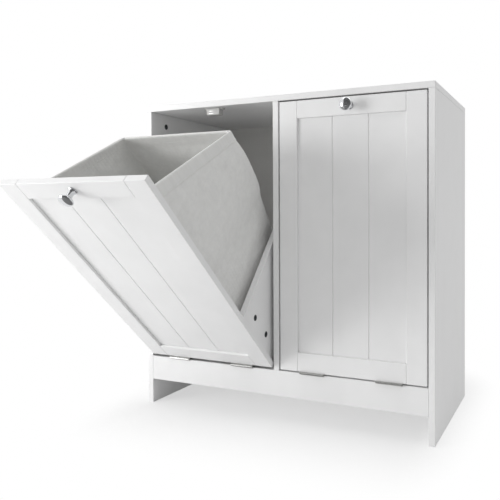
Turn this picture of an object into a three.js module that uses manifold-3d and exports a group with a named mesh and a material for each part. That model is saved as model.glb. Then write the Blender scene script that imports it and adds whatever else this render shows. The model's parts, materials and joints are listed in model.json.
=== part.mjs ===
// A laundry hamper with two tilting bins in one white cabinet.
// Millimetres, +Z up. While it is being built, x runs from the cabinet's left face, y from its front face towards the
// back, and z from the floor. The left bin is tilted open and the right bin is closed.
import * as THREE from "three";
import { mergeVertices } from "three/addons/utils/BufferGeometryUtils.js";
import Module from "manifold-3d";

const wasm = await Module();
wasm.setup();

// Cabinet
const cabinetWidth = 640;
const cabinetDepth = 330;
const cabinetHeight = 661;
const boardThickness = 12;
const topThickness = 12;
const backThickness = 3;
const backRebateWidth = 6;
const railClearance = 53;
const railHeight = 52;
const boardArris = 0.4;
const glueLine = 0.2;

// Door of a bin, closed
const doorInset = 1;
const doorSideGap = 2.6;
const doorTopGap = 2.8;
const doorBottomGap = 2.5;
const doorThickness = 12;
const doorArris = 0.7;
const stileWidth = 38.5;
const doorTopRailHeight = 35;
const doorBottomRailHeight = 38;
const panelRecess = 5;
const panelTongue = 8;
const panelFit = 0.3;
const panelBoards = 3;
const grooveWidth = 2.8;
const grooveDepth = 1.8;

// Tray of a bin, closed
const trayWallGap = 8;
const trayFloorGap = 5;
const trayHeight = 157;
const trayBackHeight = 100;
const trayRearGap = 47;
const trayBoardThickness = 12;
const trayArris = 0.5;

// Butt hinge
const hingeAxisReach = 2.8;
const hingeLength = 50;
const hingeEdgeDistance = 70.4;
const leafDepth = 13.5;
const leafSpacing = 0.5;
const knuckleRadius = 2.5;
const knuckleCount = 5;
const knuckleEndGap = 0.3;
const knuckleSwingGap = 0.35;
const pinRadius = 1.2;
const pinPlay = 0.12;
const pinHeadHeight = 0.8;
const pinHeadRadius = 2;

// Cam locks
const camRadius = 6;
const camDepth = 9.5;
const camFit = 0.3;
const camSlotWidth = 1.8;
const camSlotLength = 7.5;
const camSlotDepth = 3;
const topCamDrop = 27;
const topCamEdgeDistance = 54;
const trayCamEdgeDistance = 29;
const trayLowerCamDistance = 57;
const trayUpperCamDistance = 40;

// Stop blocks
const stopLength = 26;
const stopThickness = 14;
const stopReach = 14;
const stopSetback = 41.04;
const stopCornerDistance = 22;
const stopCornerRadius = 2;
const stopContactGap = 0.3;

// Magnetic catch and its strike plate
const catchWidth = 32;
const catchHeight = 14.5;
const catchDepth = 17;
const catchEarWidth = 46;
const catchEarDepth = 11;
const catchEarHeight = 3;
const catchArris = 1;
const catchScrewRadius = 1.7;
const strikeWidth = 26;
const strikeHeight = 11;
const strikeThickness = 1.2;
const strikeTopDistance = 1.5;
const strikeAirGap = 0.5;
const strikeCornerRadius = 2;

// Knob
const knobProjection = 27;
const knobHeadRadius = 12.5;
const knobHeadHeight = 11.5;
const knobNeckRadius = 4.6;
const knobBaseRadius = 8;
const knobBaseHeight = 1.6;

// Liner and the wire in its cuff
const linerFit = 1;
const linerWall = 2;
const linerFloorGap = 0.3;
const linerRimGap = 35;
const linerRimFall = 101;
const linerCornerRadius = 14;
const linerInnerCornerRadius = 6;
const linerFootRadius = 9;
const cuffHeight = 24;
const cuffFlap = 1.4;
const cuffTop = 1.6;
const cuffEdgeRadius = 0.7;
const wireRadius = 1.6;
const wireFit = 0.3;

// Facets
const camSides = 24;
const knuckleSides = 20;
const knobSides = 28;
const knobHeadSteps = 9;
const knobNeckSteps = 4;
const linerCornerSteps = 5;
const wireSides = 6;
const filletSteps = 3;
const cutOverrun = 1;

// Places that follow from these sizes
const topUnderside = cabinetHeight - topThickness;
const railTop = railClearance + railHeight;
const compartmentWidth = (cabinetWidth - 3 * boardThickness) / 2;
const compartmentLefts = { left: boardThickness, right: 2 * boardThickness + compartmentWidth };
const doorBack = doorInset + doorThickness;
const doorBottom = railTop + doorBottomGap;
const doorTop = topUnderside - doorTopGap;
const axisY = -hingeAxisReach;
const axisZ = railTop + doorBottomGap / 2;
const leafThickness = (doorBottomGap - 2 * glueLine - leafSpacing) / 2;
const trayBottom = railTop + trayFloorGap;
const trayTop = trayBottom + trayHeight;
const trayFront = doorBack + glueLine;
const trayRear = cabinetDepth - backThickness - trayRearGap;
const cuffChannel = 2 * (wireRadius + wireFit);

// A bin opens until its tray's top edge meets the stop blocks, at a point that then lies this far behind the closed
// door. The point's distance from the hinge axis gives the angle.
const stopArm = new THREE.Vector2(trayRear - stopCornerDistance - axisY, trayTop - axisZ);
const openAngle = Math.acos((doorBack + stopSetback - axisY) / stopArm.length()) - stopArm.angle();

const finishes = {
  whiteBoard: new THREE.MeshStandardMaterial({ color: 0xf1f1f0, roughness: 0.45, metalness: 0 }),
  hardboard: new THREE.MeshStandardMaterial({ color: 0xe4e4e2, roughness: 0.6, metalness: 0 }),
  chrome: new THREE.MeshStandardMaterial({ color: 0xd6d8da, roughness: 0.08, metalness: 1 }),
  steel: new THREE.MeshStandardMaterial({ color: 0xb9bbbd, roughness: 0.35, metalness: 1 }),
  zinc: new THREE.MeshStandardMaterial({ color: 0x4c4e50, roughness: 0.5, metalness: 1 }),
  whitePlastic: new THREE.MeshStandardMaterial({ color: 0xf4f4f2, roughness: 0.35, metalness: 0 }),
  canvas: new THREE.MeshStandardMaterial({ color: 0xd9d8d5, roughness: 0.95, metalness: 0 }),
};

const hamper = new THREE.Group();

// A closed geometry as a solid for joining and cutting.
function solidOf(geometry) {
  const bare = geometry.clone();
  for (const name of ["normal", "uv"]) bare.deleteAttribute(name);
  const merged = mergeVertices(bare);
  return new wasm.Manifold(
    new wasm.Mesh({
      numProp: 3,
      vertProperties: merged.attributes.position.array,
      triVerts: new Uint32Array(merged.index.array),
    }),
  );
}

// A solid as a geometry with flat facets.
function geometryOf(solid) {
  const mesh = solid.getMesh();
  const indexed = new THREE.BufferGeometry();
  indexed.setAttribute("position", new THREE.BufferAttribute(mesh.vertProperties, 3));
  indexed.setIndex(new THREE.BufferAttribute(mesh.triVerts, 1));
  const flat = indexed.toNonIndexed();
  flat.computeVertexNormals();
  return flat;
}

function cut(geometry, ...tools) {
  let solid = solidOf(geometry);
  for (const tool of tools) solid = solid.subtract(solidOf(tool));
  return geometryOf(solid);
}

function join(geometry, ...others) {
  let solid = solidOf(geometry);
  for (const other of others) solid = solid.add(solidOf(other));
  return geometryOf(solid);
}

// A named piece of the given finish, added to a group.
function addPiece(group, name, geometry, finish) {
  const piece = new THREE.Mesh(geometry, finish);
  piece.name = name;
  group.add(piece);
  return piece;
}

// A plain block between two opposite corners.
function block(low, high) {
  const [width, depth, height] = high.map((value, i) => value - low[i]);
  const geometry = new THREE.BoxGeometry(width, depth, height);
  geometry.translate(low[0] + width / 2, low[1] + depth / 2, low[2] + height / 2);
  return geometry;
}

// A rectangle's outline with its corners cut off at 45 degrees.
function chamferedRectangle(width, depth, chamfer) {
  const shape = new THREE.Shape();
  shape.moveTo(chamfer, 0);
  shape.lineTo(width - chamfer, 0);
  shape.lineTo(width, chamfer);
  shape.lineTo(width, depth - chamfer);
  shape.lineTo(width - chamfer, depth);
  shape.lineTo(chamfer, depth);
  shape.lineTo(0, depth - chamfer);
  shape.lineTo(0, chamfer);
  shape.closePath();
  return shape;
}

// A board between two opposite corners, with every edge eased by a small arris.
function easedBoard(low, high, arris) {
  const [width, depth, height] = high.map((value, i) => value - low[i]);
  const geometry = new THREE.ExtrudeGeometry(chamferedRectangle(width, depth, arris), {
    depth: height - 2 * arris,
    bevelThickness: arris,
    bevelSize: arris,
    bevelOffset: -arris,
    bevelSegments: 1,
  });
  geometry.translate(low[0], low[1], low[2] + arris);
  return geometry;
}

// A round bar along x from one point.
function barAlongX(radius, length, sides, x, y, z) {
  const geometry = new THREE.CylinderGeometry(radius, radius, length, sides);
  geometry.rotateZ(Math.PI / 2);
  geometry.translate(x + length / 2, y, z);
  return geometry;
}

// A rounded rectangle's outline, centred.
function roundedRectangle(width, height, radius) {
  const right = width / 2;
  const top = height / 2;
  const shape = new THREE.Shape();
  shape.absarc(right - radius, top - radius, radius, 0, Math.PI / 2);
  shape.absarc(radius - right, top - radius, radius, Math.PI / 2, Math.PI);
  shape.absarc(radius - right, radius - top, radius, Math.PI, 1.5 * Math.PI);
  shape.absarc(right - radius, radius - top, radius, 1.5 * Math.PI, 2 * Math.PI);
  return shape;
}

// Cam lock

// The hole for a cam lock in the face of a board that looks along x, at the face's place. side is +1 where the board
// lies on the +x side of that face, and -1 where it lies on the other.
function camPocket(x, y, z, side) {
  const depth = camDepth + camFit + cutOverrun;
  const start = side > 0 ? x - cutOverrun : x + cutOverrun - depth;
  return barAlongX(camRadius + camFit, depth, camSides, start, y, z);
}

// The cam lock in that hole, flush with the face, with a crossed slot for the screwdriver.
function camLock(x, y, z, side) {
  const start = side > 0 ? x : x - camDepth;
  const face = x + side * camSlotDepth;
  const slotEnds = [Math.min(x - side * cutOverrun, face), Math.max(x - side * cutOverrun, face)];
  const half = camSlotLength / 2;
  const thin = camSlotWidth / 2;
  return cut(
    barAlongX(camRadius, camDepth, camSides, start, y, z),
    block([slotEnds[0], y - half, z - thin], [slotEnds[1], y + half, z + thin]),
    block([slotEnds[0], y - thin, z - half], [slotEnds[1], y + thin, z + half]),
  );
}

// Cabinet

// The places of the cam locks along the depth of a side panel.
const topCamPlaces = [topCamEdgeDistance, cabinetDepth - topCamEdgeDistance];
const topCamHeight = topUnderside - topCamDrop;

// A side panel with the rebate for the back panel along its rear inner edge and the cam locks' holes in its inner face.
function sidePanel(outerFace, side) {
  const innerFace = outerFace + side * boardThickness;
  const xs = [Math.min(outerFace, innerFace), Math.max(outerFace, innerFace)];
  const rebateEdge = innerFace - side * backRebateWidth;
  const pastInner = innerFace + side * cutOverrun;
  const rebate = block(
    [Math.min(rebateEdge, pastInner), cabinetDepth - backThickness, -cutOverrun],
    [Math.max(rebateEdge, pastInner), cabinetDepth + cutOverrun, cabinetHeight],
  );
  const pockets = topCamPlaces.map((y) => camPocket(innerFace, y, topCamHeight, -side));
  return cut(
    easedBoard([xs[0], 0, 0], [xs[1], cabinetDepth, topUnderside - glueLine], boardArris),
    rebate,
    ...pockets,
  );
}

function addCabinet(group) {
  const innerLeft = boardThickness;
  const innerRight = cabinetWidth - boardThickness;
  const innerRear = cabinetDepth - backThickness - glueLine;
  const { whiteBoard, hardboard } = finishes;

  addPiece(group, "left_side_panel", sidePanel(0, 1), whiteBoard);
  addPiece(group, "right_side_panel", sidePanel(cabinetWidth, -1), whiteBoard);
  addPiece(
    group,
    "top_panel",
    easedBoard([0, 0, topUnderside], [cabinetWidth, cabinetDepth, cabinetHeight], boardArris),
    whiteBoard,
  );
  addPiece(
    group,
    "front_rail",
    easedBoard(
      [innerLeft + glueLine, 0, railClearance],
      [innerRight - glueLine, boardThickness, railTop],
      boardArris,
    ),
    whiteBoard,
  );
  addPiece(
    group,
    "bottom_panel",
    easedBoard(
      [innerLeft + glueLine, boardThickness + glueLine, railTop - boardThickness],
      [innerRight - glueLine, innerRear, railTop],
      boardArris,
    ),
    whiteBoard,
  );
  addPiece(
    group,
    "centre_divider",
    easedBoard(
      [innerLeft + compartmentWidth, 0, railTop + glueLine],
      [innerLeft + compartmentWidth + boardThickness, innerRear, topUnderside - glueLine],
      boardArris,
    ),
    whiteBoard,
  );
  addPiece(
    group,
    "back_panel",
    block(
      [innerLeft - backRebateWidth + glueLine, cabinetDepth - backThickness + glueLine, railClearance],
      [innerRight + backRebateWidth - glueLine, cabinetDepth, topUnderside - glueLine],
    ),
    hardboard,
  );

  topCamPlaces.forEach((y, i) => {
    const place = i === 0 ? "front" : "rear";
    addPiece(group, `left_${place}_top_cam_lock`, camLock(innerLeft, y, topCamHeight, -1), finishes.zinc);
    addPiece(group, `right_${place}_top_cam_lock`, camLock(innerRight, y, topCamHeight, 1), finishes.zinc);
  });
}

// Stop blocks

// A small block whose face meets the rear end of a tray board's top edge when the bin is open, turned to lie along it.
function stopBlock(wallFace, side) {
  const shape = roundedRectangle(stopLength, stopThickness, stopCornerRadius);
  const geometry = new THREE.ExtrudeGeometry(shape, {
    depth: stopReach,
    bevelEnabled: false,
    curveSegments: filletSteps,
  });
  // The outline's length turns to y, its thickness to z, and the extrusion to x.
  geometry.rotateX(Math.PI / 2);
  geometry.rotateZ(Math.PI / 2);
  geometry.computeBoundingBox();
  const lowest = geometry.boundingBox.min.x;
  geometry.translate(side > 0 ? -lowest : -lowest - stopReach, 0, 0);
  geometry.translate(
    wallFace + side * glueLine,
    trayRear - stopCornerDistance - axisY,
    trayTop + stopContactGap + stopThickness / 2 - axisZ,
  );
  const moved = new THREE.Matrix4().makeRotationX(openAngle);
  moved.setPosition(0, axisY, axisZ);
  // x stays as it is, and the block swings about the hinge axis to where the open tray reaches it.
  geometry.applyMatrix4(moved);
  return geometry;
}

// Magnetic catch

// The catch's case with two screwed ears, under the top panel and just behind the closed door.
function magneticCatch(centreX) {
  const front = doorBack + strikeThickness + glueLine + strikeAirGap;
  const top = topUnderside - glueLine;
  const earFront = front + (catchDepth - catchEarDepth) / 2;
  const earRear = earFront + catchEarDepth;
  const ears = easedBoard(
    [centreX - catchEarWidth / 2, earFront, top - catchEarHeight],
    [centreX + catchEarWidth / 2, earRear, top],
    catchArris,
  );
  const body = easedBoard(
    [centreX - catchWidth / 2, front, top - catchHeight],
    [centreX + catchWidth / 2, front + catchDepth, top],
    catchArris,
  );
  const screwDistance = (catchWidth + catchEarWidth) / 4;
  const holes = [-1, 1].map((side) => {
    const hole = new THREE.CylinderGeometry(
      catchScrewRadius,
      catchScrewRadius,
      catchEarHeight + 2 * cutOverrun,
      camSides / 2,
    );
    hole.rotateX(Math.PI / 2);
    hole.translate(centreX + side * screwDistance, (earFront + earRear) / 2, top - catchEarHeight / 2);
    return hole;
  });
  return cut(join(body, ears), ...holes);
}

function strikePlate(centreX) {
  const shape = roundedRectangle(strikeWidth, strikeHeight, strikeCornerRadius);
  const geometry = new THREE.ExtrudeGeometry(shape, {
    depth: strikeThickness,
    bevelEnabled: false,
    curveSegments: filletSteps,
  });
  geometry.rotateX(Math.PI / 2);
  geometry.translate(
    centreX,
    doorBack + glueLine + strikeThickness,
    doorTop - strikeTopDistance - strikeHeight / 2,
  );
  return geometry;
}

// Butt hinge

// The stretch along x of each knuckle of a hinge that starts at x.
function knucklePlaces(x) {
  const pitch = hingeLength / knuckleCount;
  return Array.from({ length: knuckleCount }, (_, i) => ({
    start: x + i * pitch + (i === 0 ? 0 : knuckleEndGap / 2),
    end: x + (i + 1) * pitch - (i === knuckleCount - 1 ? 0 : knuckleEndGap / 2),
    onRail: i % 2 === 0,
  }));
}

// One leaf: a plate with its share of the knuckles. The rail's leaf carries the pin, and the door's leaf turns on it.
function hingeLeaf(x, onRail) {
  const knuckles = knucklePlaces(x);
  const bottom = onRail ? railTop + glueLine : doorBottom - glueLine - leafThickness;
  const plate = block([x, axisY, bottom], [x + hingeLength, axisY + leafDepth, bottom + leafThickness]);
  const clearances = knuckles
    .filter((knuckle) => knuckle.onRail !== onRail)
    .map(({ start, end }) => {
      const from = start - knuckleEndGap;
      const length = end - start + 2 * knuckleEndGap;
      return barAlongX(knuckleRadius + knuckleSwingGap, length, knuckleSides, from, axisY, axisZ);
    });
  const ownKnuckles = knuckles
    .filter((knuckle) => knuckle.onRail === onRail)
    .map(({ start, end }) => barAlongX(knuckleRadius, end - start, knuckleSides, start, axisY, axisZ));
  const leaf = join(cut(plate, ...clearances), ...ownKnuckles);
  if (onRail) {
    return join(
      leaf,
      barAlongX(pinRadius, hingeLength, knuckleSides, x, axisY, axisZ),
      barAlongX(pinHeadRadius, pinHeadHeight, knuckleSides, x - pinHeadHeight, axisY, axisZ),
      barAlongX(pinHeadRadius, pinHeadHeight, knuckleSides, x + hingeLength, axisY, axisZ),
    );
  }
  const bore = barAlongX(
    (pinRadius + pinPlay) / Math.cos(Math.PI / knuckleSides),
    hingeLength + 2 * cutOverrun,
    knuckleSides,
    x - cutOverrun,
    axisY,
    axisZ,
  );
  return cut(leaf, bore);
}

// Door

function addDoor(group, side, left) {
  const { whiteBoard } = finishes;
  const right = left + compartmentWidth - 2 * doorSideGap;
  const openingLeft = left + stileWidth;
  const openingRight = right - stileWidth;
  const openingBottom = doorBottom + doorBottomRailHeight;
  const openingTop = doorTop - doorTopRailHeight;
  const panelFront = doorInset + panelRecess;

  // The rebate that takes the panel from behind, all round the opening.
  const rebate = block(
    [openingLeft - panelTongue, panelFront, openingBottom - panelTongue],
    [openingRight + panelTongue, doorBack + cutOverrun, openingTop + panelTongue],
  );
  const framePieces = {
    left_stile: [[left, doorBottom], [openingLeft, doorTop]],
    right_stile: [[openingRight, doorBottom], [right, doorTop]],
    top_rail: [[openingLeft + glueLine, openingTop], [openingRight - glueLine, doorTop]],
    bottom_rail: [[openingLeft + glueLine, doorBottom], [openingRight - glueLine, openingBottom]],
  };
  for (const [name, [low, high]] of Object.entries(framePieces)) {
    const bar = easedBoard([low[0], doorInset, low[1]], [high[0], doorBack, high[1]], doorArris);
    addPiece(group, `${side}_door_${name}`, cut(bar, rebate), whiteBoard);
  }
  const panel = doorPanel(
    openingRight - openingLeft,
    [openingLeft - panelTongue + panelFit, openingBottom - panelTongue + panelFit],
    [openingRight + panelTongue - panelFit, openingTop + panelTongue - panelFit],
    panelFront + panelFit,
  );
  addPiece(group, `${side}_door_panel`, panel, whiteBoard);
}

// The door's panel: one board whose V grooves divide the part that shows into equal strips.
function doorPanel(shownWidth, low, high, front) {
  const width = high[0] - low[0];
  const thickness = doorBack - front;
  const strip = shownWidth / panelBoards;
  const outline = new THREE.Shape();
  outline.moveTo(0, 0);
  for (let i = 1; i < panelBoards; i += 1) {
    const groove = (width - shownWidth) / 2 + i * strip;
    outline.lineTo(groove - grooveWidth / 2, 0);
    outline.lineTo(groove, grooveDepth);
    outline.lineTo(groove + grooveWidth / 2, 0);
  }
  outline.lineTo(width, 0);
  outline.lineTo(width, thickness);
  outline.lineTo(0, thickness);
  outline.closePath();
  const geometry = new THREE.ExtrudeGeometry(outline, { depth: high[1] - low[1], bevelEnabled: false });
  geometry.translate(low[0], front, low[1]);
  return geometry;
}

// A turned knob: a thin base, a waisted neck and a flattened round head, pointing forward.
function knob(centreX, centreZ) {
  const headMiddle = knobProjection - knobHeadHeight / 2;
  const headStart = -0.3 * Math.PI;
  const profile = [new THREE.Vector2(0, 0), new THREE.Vector2(knobBaseRadius, 0)];
  const headAt = (angle) =>
    new THREE.Vector2(
      knobHeadRadius * Math.cos(angle),
      headMiddle + (knobHeadHeight / 2) * Math.sin(angle),
    );
  const neck = new THREE.CubicBezierCurve(
    new THREE.Vector2(knobBaseRadius, knobBaseHeight),
    new THREE.Vector2(knobNeckRadius, knobBaseHeight),
    new THREE.Vector2(knobNeckRadius, headAt(headStart).y - knobBaseHeight),
    headAt(headStart),
  );
  profile.push(...neck.getPoints(knobNeckSteps));
  for (let i = 1; i < knobHeadSteps; i += 1) {
    profile.push(headAt(THREE.MathUtils.lerp(headStart, Math.PI / 2, i / knobHeadSteps)));
  }
  profile.push(new THREE.Vector2(0, knobProjection));
  const geometry = new THREE.LatheGeometry(profile, knobSides);
  geometry.rotateX(Math.PI);
  geometry.translate(centreX, doorInset - glueLine, centreZ);
  return geometry;
}

// Tray

const trayCamHeights = [trayBottom + trayLowerCamDistance, trayTop - trayUpperCamDistance];

function addTray(group, side, wallLeft) {
  const { whiteBoard, zinc } = finishes;
  const outer = { left: wallLeft + trayWallGap, right: wallLeft + compartmentWidth - trayWallGap };
  const inner = { left: outer.left + trayBoardThickness, right: outer.right - trayBoardThickness };
  const camY = doorBack + trayCamEdgeDistance;
  for (const hand of ["left", "right"]) {
    const inward = hand === "left" ? 1 : -1;
    const xs = [Math.min(outer[hand], inner[hand]), Math.max(outer[hand], inner[hand])];
    const board = easedBoard([xs[0], trayFront, trayBottom], [xs[1], trayRear, trayTop], trayArris);
    const pockets = trayCamHeights.map((z) => camPocket(outer[hand], camY, z, inward));
    addPiece(group, `${side}_tray_${hand}_board`, cut(board, ...pockets), whiteBoard);
    trayCamHeights.forEach((z, i) => {
      const name = `${side}_tray_${hand}_${i === 0 ? "lower" : "upper"}_cam_lock`;
      addPiece(group, name, camLock(outer[hand], camY, z, inward), zinc);
    });
  }
  const innerLow = inner.left + glueLine;
  const innerHigh = inner.right - glueLine;
  const backFront = trayRear - trayBoardThickness;
  const floorTop = trayBottom + trayBoardThickness;
  addPiece(
    group,
    `${side}_tray_back_board`,
    easedBoard([innerLow, backFront, trayBottom], [innerHigh, trayRear, trayBottom + trayBackHeight], trayArris),
    whiteBoard,
  );
  addPiece(
    group,
    `${side}_tray_floor_board`,
    easedBoard([innerLow, trayFront, trayBottom], [innerHigh, backFront - glueLine, floorTop], trayArris),
    whiteBoard,
  );
  return { left: inner.left, right: inner.right, front: doorBack, rear: backFront, floor: floorTop };
}

// Liner

// The points of a rounded rectangle that lies inside the liner's footprint by an inset, each with its outward direction.
function footprint(space, inset) {
  const radius = Math.max(linerCornerRadius - inset, linerInnerCornerRadius);
  const lowX = space.left + linerFit + inset + radius;
  const highX = space.right - linerFit - inset - radius;
  const lowY = space.front + linerFit + inset + radius;
  const highY = space.rear - linerFit - inset - radius;
  const centres = [
    [highX, highY],
    [lowX, highY],
    [lowX, lowY],
    [highX, lowY],
  ];
  const points = [];
  centres.forEach(([x, y], quarter) => {
    for (let step = 0; step < linerCornerSteps; step += 1) {
      const angle = (quarter + step / (linerCornerSteps - 1)) * (Math.PI / 2);
      const outward = new THREE.Vector2(Math.cos(angle), Math.sin(angle));
      points.push({ x: x + radius * outward.x, y: y + radius * outward.y, outward });
    }
  });
  return points;
}

// The rim slopes down in a straight line from the door to the back.
function rimHeight(space, y) {
  const share = (y - space.front) / (space.rear - space.front);
  return topUnderside - linerRimGap - share * linerRimFall;
}

// A closed surface through rings of equally many points. The ends are capped, or joined to each other.
function loft(rings, endsMeet) {
  const count = rings[0].length;
  const positions = rings.flat().flatMap((point) => point.toArray());
  const faces = [];
  const last = endsMeet ? rings.length : rings.length - 1;
  for (let r = 0; r < last; r += 1) {
    const lower = r * count;
    const upper = ((r + 1) % rings.length) * count;
    for (let i = 0; i < count; i += 1) {
      const next = (i + 1) % count;
      faces.push(lower + i, lower + next, upper + next, lower + i, upper + next, upper + i);
    }
  }
  if (!endsMeet) {
    const end = (rings.length - 1) * count;
    for (let i = 1; i < count - 1; i += 1) {
      faces.push(0, i + 1, i);
      faces.push(end, end + i, end + i + 1);
    }
  }
  const geometry = new THREE.BufferGeometry();
  geometry.setAttribute("position", new THREE.Float32BufferAttribute(positions, 3));
  geometry.setIndex(faces);
  const flat = geometry.toNonIndexed();
  flat.computeVertexNormals();
  return flat;
}

// The liner: an open bag that fills the tray, draws in a little towards its rim and ends in a cuff that folds outwards.
// The cuff is open below, and the wire lies in its fold.
function liner(space) {
  const floor = space.floor + linerFloorGap;
  const wallInset = cuffFlap + cuffChannel;
  const fromFloor = (height) => () => floor + height;
  const belowRim = (drop) => (y) => rimHeight(space, y) - drop;
  const section = [
    [linerFootRadius, fromFloor(0)],
    [linerFootRadius / 4, fromFloor(linerFootRadius / 4)],
    [0, fromFloor(linerFootRadius)],
    [0, () => trayTop],
    [wallInset, belowRim(cuffHeight)],
    [wallInset, belowRim(cuffTop)],
    [cuffFlap, belowRim(cuffTop)],
    [cuffFlap, belowRim(cuffHeight)],
    [0, belowRim(cuffHeight)],
    [0, belowRim(cuffEdgeRadius)],
    [cuffEdgeRadius, belowRim(0)],
    [wallInset + linerWall - cuffEdgeRadius, belowRim(0)],
    [wallInset + linerWall, belowRim(cuffEdgeRadius)],
    [wallInset + linerWall, belowRim(cuffHeight)],
    [linerWall, () => trayTop],
    [linerWall, fromFloor(linerFootRadius + linerWall)],
    [linerFootRadius + linerWall, fromFloor(linerWall)],
  ];
  const rings = section.map(([inset, heightAt]) =>
    footprint(space, inset).map(({ x, y }) => new THREE.Vector3(x, y, heightAt(y))),
  );
  return loft(rings, false);
}

// The wire in the cuff: a loop that follows the sloping rim.
function rimWire(space) {
  const path = footprint(space, cuffFlap + cuffChannel / 2);
  const drop = cuffTop + wireFit + wireRadius;
  const rings = path.map(({ x, y, outward }) =>
    Array.from({ length: wireSides }, (_, i) => {
      const angle = (-2 * Math.PI * i) / wireSides;
      const reach = wireRadius * Math.cos(angle);
      return new THREE.Vector3(
        x + reach * outward.x,
        y + reach * outward.y,
        rimHeight(space, y) - drop + wireRadius * Math.sin(angle),
      );
    }),
  );
  return loft(rings, true);
}

// One bin, with what it hangs on and closes against

function addBin(side, tilt) {
  const wallLeft = compartmentLefts[side];
  const wallRight = wallLeft + compartmentWidth;
  const centreX = (wallLeft + wallRight) / 2;
  const doorLeft = wallLeft + doorSideGap;
  const doorRight = wallRight - doorSideGap;

  const pivot = new THREE.Group();
  pivot.position.set(0, axisY, axisZ);
  pivot.rotation.x = tilt;
  hamper.add(pivot);
  const bin = new THREE.Group();
  bin.position.set(0, -axisY, -axisZ);
  pivot.add(bin);

  addDoor(bin, side, doorLeft);
  const knobHeight = doorTop - doorTopRailHeight / 2;
  addPiece(bin, `${side}_knob`, knob(centreX, knobHeight), finishes.chrome);
  addPiece(bin, `${side}_strike_plate`, strikePlate(centreX), finishes.steel);

  const space = addTray(bin, side, wallLeft);
  addPiece(bin, `${side}_liner`, liner(space), finishes.canvas);
  addPiece(bin, `${side}_liner_rim_wire`, rimWire(space), finishes.steel);

  const hingeStarts = {
    left: doorLeft + hingeEdgeDistance - hingeLength / 2,
    right: doorRight - hingeEdgeDistance - hingeLength / 2,
  };
  for (const [hand, x] of Object.entries(hingeStarts)) {
    addPiece(bin, `${side}_${hand}_hinge_door_leaf`, hingeLeaf(x, false), finishes.steel);
    addPiece(hamper, `${side}_${hand}_hinge_rail_leaf`, hingeLeaf(x, true), finishes.steel);
  }
  addPiece(hamper, `${side}_magnetic_catch`, magneticCatch(centreX), finishes.whitePlastic);
  addPiece(hamper, `${side}_left_stop_block`, stopBlock(wallLeft, 1), finishes.whitePlastic);
  addPiece(hamper, `${side}_right_stop_block`, stopBlock(wallRight, -1), finishes.whitePlastic);
}

addCabinet(hamper);
addBin("left", openAngle);
addBin("right", 0);

// The origin is the middle of the whole hamper's footprint, on the floor.
const reach = new THREE.Box3().setFromObject(hamper, true);
hamper.position.set(-(reach.min.x + reach.max.x) / 2, -(reach.min.y + reach.max.y) / 2, 0);

export default hamper;
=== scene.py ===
import json
import math
import random

import bmesh
import bpy
from mathutils import Matrix, Vector


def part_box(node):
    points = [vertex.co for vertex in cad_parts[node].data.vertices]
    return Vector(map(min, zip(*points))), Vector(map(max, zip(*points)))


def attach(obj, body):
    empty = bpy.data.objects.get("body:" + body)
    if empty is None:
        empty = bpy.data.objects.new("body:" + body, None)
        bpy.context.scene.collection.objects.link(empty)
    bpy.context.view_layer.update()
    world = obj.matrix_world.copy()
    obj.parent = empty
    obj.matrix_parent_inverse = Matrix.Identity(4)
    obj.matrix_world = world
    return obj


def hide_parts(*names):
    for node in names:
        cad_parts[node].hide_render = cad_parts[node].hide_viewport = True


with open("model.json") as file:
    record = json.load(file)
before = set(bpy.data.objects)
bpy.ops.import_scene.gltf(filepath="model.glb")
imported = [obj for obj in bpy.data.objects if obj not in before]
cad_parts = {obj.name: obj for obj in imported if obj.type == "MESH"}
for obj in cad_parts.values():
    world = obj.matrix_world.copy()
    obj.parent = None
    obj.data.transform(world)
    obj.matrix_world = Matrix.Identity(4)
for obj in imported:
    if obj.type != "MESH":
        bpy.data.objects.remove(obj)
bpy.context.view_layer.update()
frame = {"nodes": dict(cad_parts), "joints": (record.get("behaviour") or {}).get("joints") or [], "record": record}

# Sizes are in metres, and angles written as numbers are in degrees. What the frame knows is read from it, and the
# rest has a name here.
mm = 0.001
SIDES = ("left", "right")
gravity = 9.81
dice = random.Random(4)
joints = {joint["name"]: joint for joint in frame["joints"]}
hinge_axis = Vector(joints["left_tilt"]["pos_m"])
open_angle = math.radians(-joints["left_tilt"]["range_deg"][0])

# Where a closed bin's parts are. The left bin stands open, so its heights and depths are read from the right one.
door_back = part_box("right_door_left_stile")[1].y
tray_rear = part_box("right_tray_back_board")[0].y
tray_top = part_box("right_tray_right_board")[1].z
tray_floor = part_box("right_tray_floor_board")[1].z
wire_low, wire_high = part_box("right_liner_rim_wire")

# Bag: the wire in its rim, the cloth in patches of about one cloth_step, and the sewn corners. A point within a reach
# of a row or a corner belongs to it.
wire_radius = 1.6 * mm
wire_inset = 4.3 * mm
cloth_thickness = 0.9 * mm
cloth_fit = 1.5 * mm
cloth_floor_gap = 0.8 * mm
cloth_step = 10 * mm
bag_corner_radius = 8 * mm
bag_foot_radius = 9 * mm
blank_rise = 10 * mm
row_reach = 0.3 * mm
seam_rise = 0.9 * mm
seam_reach = 0.6 * mm
seam_end = 1 * mm

# Hem, measured down from the wire: its rows in the wall and in the flap outside, its turn over the wire and its edge
hem_depth = 22 * mm
hem_stitch_drop = 18 * mm
hem_rows = (hem_depth - 4 * mm, 13 * mm, 9 * mm, 5 * mm)
flap_rows = (3 * mm, 6 * mm, 10 * mm, 14 * mm, hem_stitch_drop, hem_depth - 2 * mm, hem_depth - 1 * mm)
hem_turn_steps = 8
hem_tuck = 0.35 * mm
hem_flare = 3 * mm
# From the wire's surface to the middle of the cloth round it, and from the wire's line to the flap at the stitches
wire_gap = cloth_thickness * 0.61
flap_gap = cloth_thickness * 0.25

# Stitches
stitch_pitch = 4.2 * mm
stitch_length = 3.1 * mm
stitch_radius = 0.42 * mm
stitch_edge = stitch_radius * 0.55
stitch_taper = 0.5
end_reach = 0.01 * mm

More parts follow.
